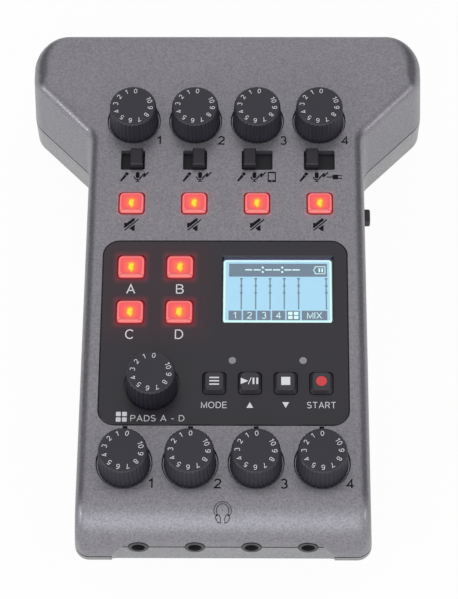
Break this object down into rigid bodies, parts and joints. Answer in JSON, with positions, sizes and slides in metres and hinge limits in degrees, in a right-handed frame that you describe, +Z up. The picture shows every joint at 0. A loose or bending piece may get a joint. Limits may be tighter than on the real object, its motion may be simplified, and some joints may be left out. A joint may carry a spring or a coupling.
{
  "type": "podcast recorder",
  "caption": "Tabletop podcast recorder with microphone sockets on a rear wing, gain and headphone knobs, sound pads, a small display and transport keys.",
  "frame": {"origin": "on the table, under the middle of the box around the part", "axes": "+X to the user's right, +Y away from the user towards the microphone sockets, +Z up"},
  "size_m": [0.112, 0.155, 0.0473],
  "materials": {
    "shell_grey": "satin",
    "shell_lower": "matt",
    "panel_black": "semi-gloss",
    "window_clear": "clear",
    "display": "lit",
    "light_pipe": "clear",
    "knob_black": "matt",
    "shaft_steel": "satin",
    "inner_plastic": "matt",
    "lever_black": "matt",
    "key_red": "lit",
    "key_dark": "matt",
    "board_green": "semi-gloss",
    "screw_steel": "satin",
    "socket_black": "matt",
    "contact_gold": "bright",
    "port_steel": "bright",
    "cell_skin": "printed",
    "foot_rubber": "matt"
  },
  "bodies": {
    "case": {"top_shell": "shell_grey", "bottom_shell": "shell_lower", "display_panel": "panel_black", "display_window": "window_clear", "lcd_module": "display", "status_lights": "light_pipe", "potentiometers": "inner_plastic", "switch_frames": "inner_plastic", "tact_switches": "inner_plastic", "key_board": "board_green", "main_board": "board_green", "board_screws": "screw_steel", "case_screws": "screw_steel", "xlr_sockets": "socket_black", "xlr_inserts": "socket_black", "xlr_contacts": "contact_gold", "phones_jacks": "inner_plastic", "phone_input_jack": "inner_plastic", "usb_ports": "port_steel", "card_slot": "port_steel", "batteries": "cell_skin", "battery_contacts": "screw_steel", "rubber_feet": "foot_rubber"},
    "gain_knob_1": {"gain_knob_1": "knob_black", "gain_shaft_1": "shaft_steel"},
    "gain_knob_2": {"gain_knob_2": "knob_black", "gain_shaft_2": "shaft_steel"},
    "gain_knob_3": {"gain_knob_3": "knob_black", "gain_shaft_3": "shaft_steel"},
    "gain_knob_4": {"gain_knob_4": "knob_black", "gain_shaft_4": "shaft_steel"},
    "phones_knob_1": {"phones_knob_1": "knob_black", "phones_shaft_1": "shaft_steel"},
    "phones_knob_2": {"phones_knob_2": "knob_black", "phones_shaft_2": "shaft_steel"},
    "phones_knob_3": {"phones_knob_3": "knob_black", "phones_shaft_3": "shaft_steel"},
    "phones_knob_4": {"phones_knob_4": "knob_black", "phones_shaft_4": "shaft_steel"},
    "pad_level_knob": {"pad_level_knob": "knob_black", "pad_level_shaft": "shaft_steel"},
    "input_switch_1": {"input_switch_1": "lever_black"},
    "input_switch_2": {"input_switch_2": "lever_black"},
    "input_switch_3": {"input_switch_3": "lever_black"},
    "input_switch_4": {"input_switch_4": "lever_black"},
    "mute_key_1": {"mute_key_1": "key_red"},
    "mute_key_2": {"mute_key_2": "key_red"},
    "mute_key_3": {"mute_key_3": "key_red"},
    "mute_key_4": {"mute_key_4": "key_red"},
    "pad_key_a": {"pad_key_a": "key_red"},
    "pad_key_b": {"pad_key_b": "key_red"},
    "pad_key_c": {"pad_key_c": "key_red"},
    "pad_key_d": {"pad_key_d": "key_red"},
    "menu_key": {"menu_key": "key_dark"},
    "play_key": {"play_key": "key_dark"},
    "stop_key": {"stop_key": "key_dark"},
    "record_key": {"record_key": "key_dark"},
    "power_switch": {"power_switch": "lever_black"},
    "battery_cover": {"battery_cover": "shell_lower"}
  },
  "joints": [
    {"name": "gain_knob_1_turn", "type": "hinge", "parent": "case", "child": "gain_knob_1", "pos_m": [-0.026, 0.04783, 0.03891], "axis": [0, -0.0523, 0.9986], "range_deg": [-300, 0]},
    {"name": "gain_knob_2_turn", "type": "hinge", "parent": "case", "child": "gain_knob_2", "pos_m": [-0.00867, 0.04783, 0.03891], "axis": [0, -0.0523, 0.9986], "range_deg": [-300, 0]},
    {"name": "gain_knob_3_turn", "type": "hinge", "parent": "case", "child": "gain_knob_3", "pos_m": [0.00867, 0.04783, 0.03891], "axis": [0, -0.0523, 0.9986], "range_deg": [-300, 0]},
    {"name": "gain_knob_4_turn", "type": "hinge", "parent": "case", "child": "gain_knob_4", "pos_m": [0.026, 0.04783, 0.03891], "axis": [0, -0.0523, 0.9986], "range_deg": [-300, 0]},
    {"name": "phones_knob_1_turn", "type": "hinge", "parent": "case", "child": "phones_knob_1", "pos_m": [-0.026, -0.05762, 0.03338], "axis": [0, -0.0523, 0.9986], "range_deg": [-300, 0]},
    {"name": "phones_knob_2_turn", "type": "hinge", "parent": "case", "child": "phones_knob_2", "pos_m": [-0.00867, -0.05762, 0.03338], "axis": [0, -0.0523, 0.9986], "range_deg": [-300, 0]},
    {"name": "phones_knob_3_turn", "type": "hinge", "parent": "case", "child": "phones_knob_3", "pos_m": [0.00867, -0.05762, 0.03338], "axis": [0, -0.0523, 0.9986], "range_deg": [-300, 0]},
    {"name": "phones_knob_4_turn", "type": "hinge", "parent": "case", "child": "phones_knob_4", "pos_m": [0.026, -0.05762, 0.03338], "axis": [0, -0.0523, 0.9986], "range_deg": [-300, 0]},
    {"name": "pad_level_knob_turn", "type": "hinge", "parent": "case", "child": "pad_level_knob", "pos_m": [-0.0192, -0.03495, 0.03457], "axis": [0, -0.0523, 0.9986], "range_deg": [-300, 0]},
    {"name": "input_switch_1_slide", "type": "slide", "parent": "case", "child": "input_switch_1", "axis": [-1, 0, 0], "range_m": [0, 0.0022]},
    {"name": "input_switch_2_slide", "type": "slide", "parent": "case", "child": "input_switch_2", "axis": [-1, 0, 0], "range_m": [0, 0.0022]},
    {"name": "input_switch_3_slide", "type": "slide", "parent": "case", "child": "input_switch_3", "axis": [1, 0, 0], "range_m": [0, 0.0041]},
    {"name": "input_switch_4_slide", "type": "slide", "parent": "case", "child": "input_switch_4", "axis": [1, 0, 0], "range_m": [0, 0.0041]},
    {"name": "mute_key_1_press", "type": "slide", "parent": "case", "child": "mute_key_1", "axis": [0, 0.0523, -0.9986], "range_m": [0, 0.0006], "stiffness_N_per_m": 400, "springref_m": -0.0005},
    {"name": "mute_key_2_press", "type": "slide", "parent": "case", "child": "mute_key_2", "axis": [0, 0.0523, -0.9986], "range_m": [0, 0.0006], "stiffness_N_per_m": 400, "springref_m": -0.0005},
    {"name": "mute_key_3_press", "type": "slide", "parent": "case", "child": "mute_key_3", "axis": [0, 0.0523, -0.9986], "range_m": [0, 0.0006], "stiffness_N_per_m": 400, "springref_m": -0.0005},
    {"name": "mute_key_4_press", "type": "slide", "parent": "case", "child": "mute_key_4", "axis": [0, 0.0523, -0.9986], "range_m": [0, 0.0006], "stiffness_N_per_m": 400, "springref_m": -0.0005},
    {"name": "pad_key_a_press", "type": "slide", "parent": "case", "child": "pad_key_a", "axis": [0, 0.0523, -0.9986], "range_m": [0, 0.0006], "stiffness_N_per_m": 400, "springref_m": -0.0005},
    {"name": "pad_key_b_press", "type": "slide", "parent": "case", "child": "pad_key_b", "axis": [0, 0.0523, -0.9986], "range_m": [0, 0.0006], "stiffness_N_per_m": 400, "springref_m": -0.0005},
    {"name": "pad_key_c_press", "type": "slide", "parent": "case", "child": "pad_key_c", "axis": [0, 0.0523, -0.9986], "range_m": [0, 0.0006], "stiffness_N_per_m": 400, "springref_m": -0.0005},
    {"name": "pad_key_d_press", "type": "slide", "parent": "case", "child": "pad_key_d", "axis": [0, 0.0523, -0.9986], "range_m": [0, 0.0006], "stiffness_N_per_m": 400, "springref_m": -0.0005},
    {"name": "menu_key_press", "type": "slide", "parent": "case", "child": "menu_key", "axis": [0, 0.0523, -0.9986], "range_m": [0, 0.0006], "stiffness_N_per_m": 400, "springref_m": -0.0005},
    {"name": "play_key_press", "type": "slide", "parent": "case", "child": "play_key", "axis": [0, 0.0523, -0.9986], "range_m": [0, 0.0006], "stiffness_N_per_m": 400, "springref_m": -0.0005},
    {"name": "stop_key_press", "type": "slide", "parent": "case", "child": "stop_key", "axis": [0, 0.0523, -0.9986], "range_m": [0, 0.0006], "stiffness_N_per_m": 400, "springref_m": -0.0005},
    {"name": "record_key_press", "type": "slide", "parent": "case", "child": "record_key", "axis": [0, 0.0523, -0.9986], "range_m": [0, 0.0006], "stiffness_N_per_m": 400, "springref_m": -0.0005},
    {"name": "power_switch_slide", "type": "slide", "parent": "case", "child": "power_switch", "axis": [0, 1, 0], "range_m": [0, 0.0025]},
    {"name": "battery_cover_hinge", "type": "hinge", "parent": "case", "child": "battery_cover", "pos_m": [0, -0.03835, 0.0029], "axis": [-1, 0, 0], "range_deg": [0, 70]}
  ]
}
